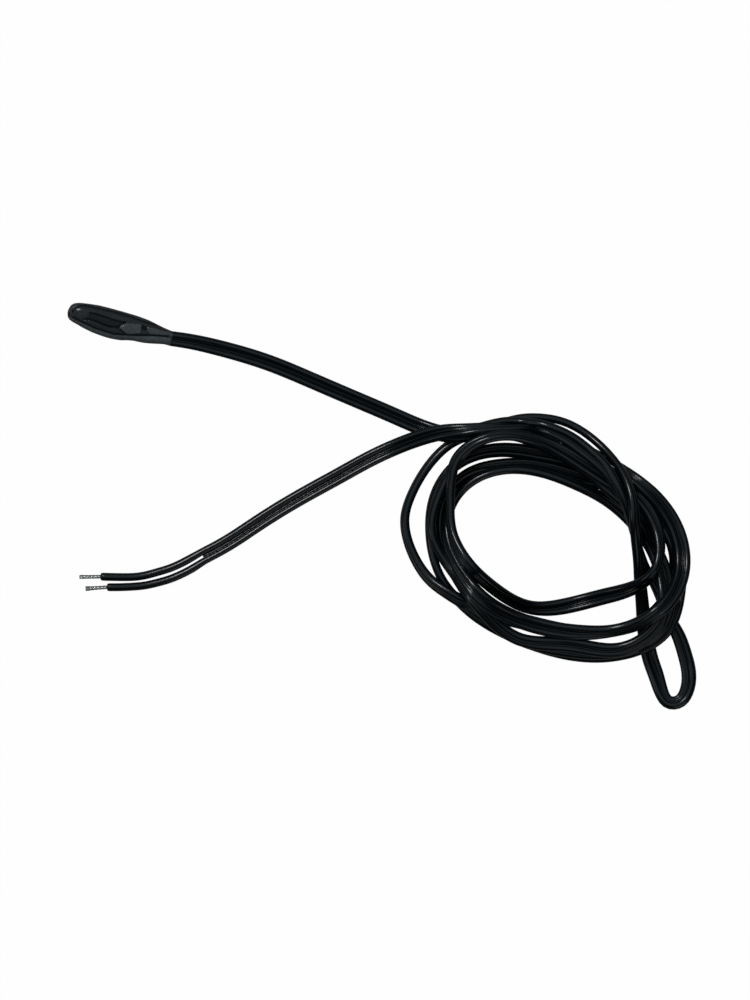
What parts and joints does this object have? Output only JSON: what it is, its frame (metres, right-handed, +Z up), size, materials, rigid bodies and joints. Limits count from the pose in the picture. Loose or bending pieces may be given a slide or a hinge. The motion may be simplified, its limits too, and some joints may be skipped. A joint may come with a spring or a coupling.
{
  "type": "temperature probe",
  "caption": "Flattened moulded black sensing head on a coiled two-core flat cord with stripped, tinned ends.",
  "frame": {"origin": "bottom centre of the moulded head, on the surface that the probe lies on", "axes": "+X along the head from its rounded tip towards its cord, +Z up from the surface, through the head's thickness"},
  "size_m": [0.1401, 0.0577, 0.012],
  "materials": {
    "head": "glossy moulded black compound",
    "cord": "semi-gloss black flexible insulation",
    "metal": "tinned copper",
    "bead": "coated bead",
    "sleeve": "thin insulating tube"
  },
  "bodies": {
    "root": {"head_moulding": "head", "ntc_bead": "bead", "lead_a": "metal", "lead_b": "metal", "lead_sleeve_a": "sleeve", "lead_sleeve_b": "sleeve", "splice_a": "metal", "splice_b": "metal", "core_stub_a": "metal", "core_stub_b": "metal", "cord_root": "cord", "cord_head_run": "cord", "cord_coil": "cord", "cord_bight": "cord", "cord_left_loop": "cord", "cord_tail_run": "cord", "leg_a": "cord", "leg_b": "cord", "strand_a": "metal", "strand_b": "metal"}
  },
  "joints": []
}
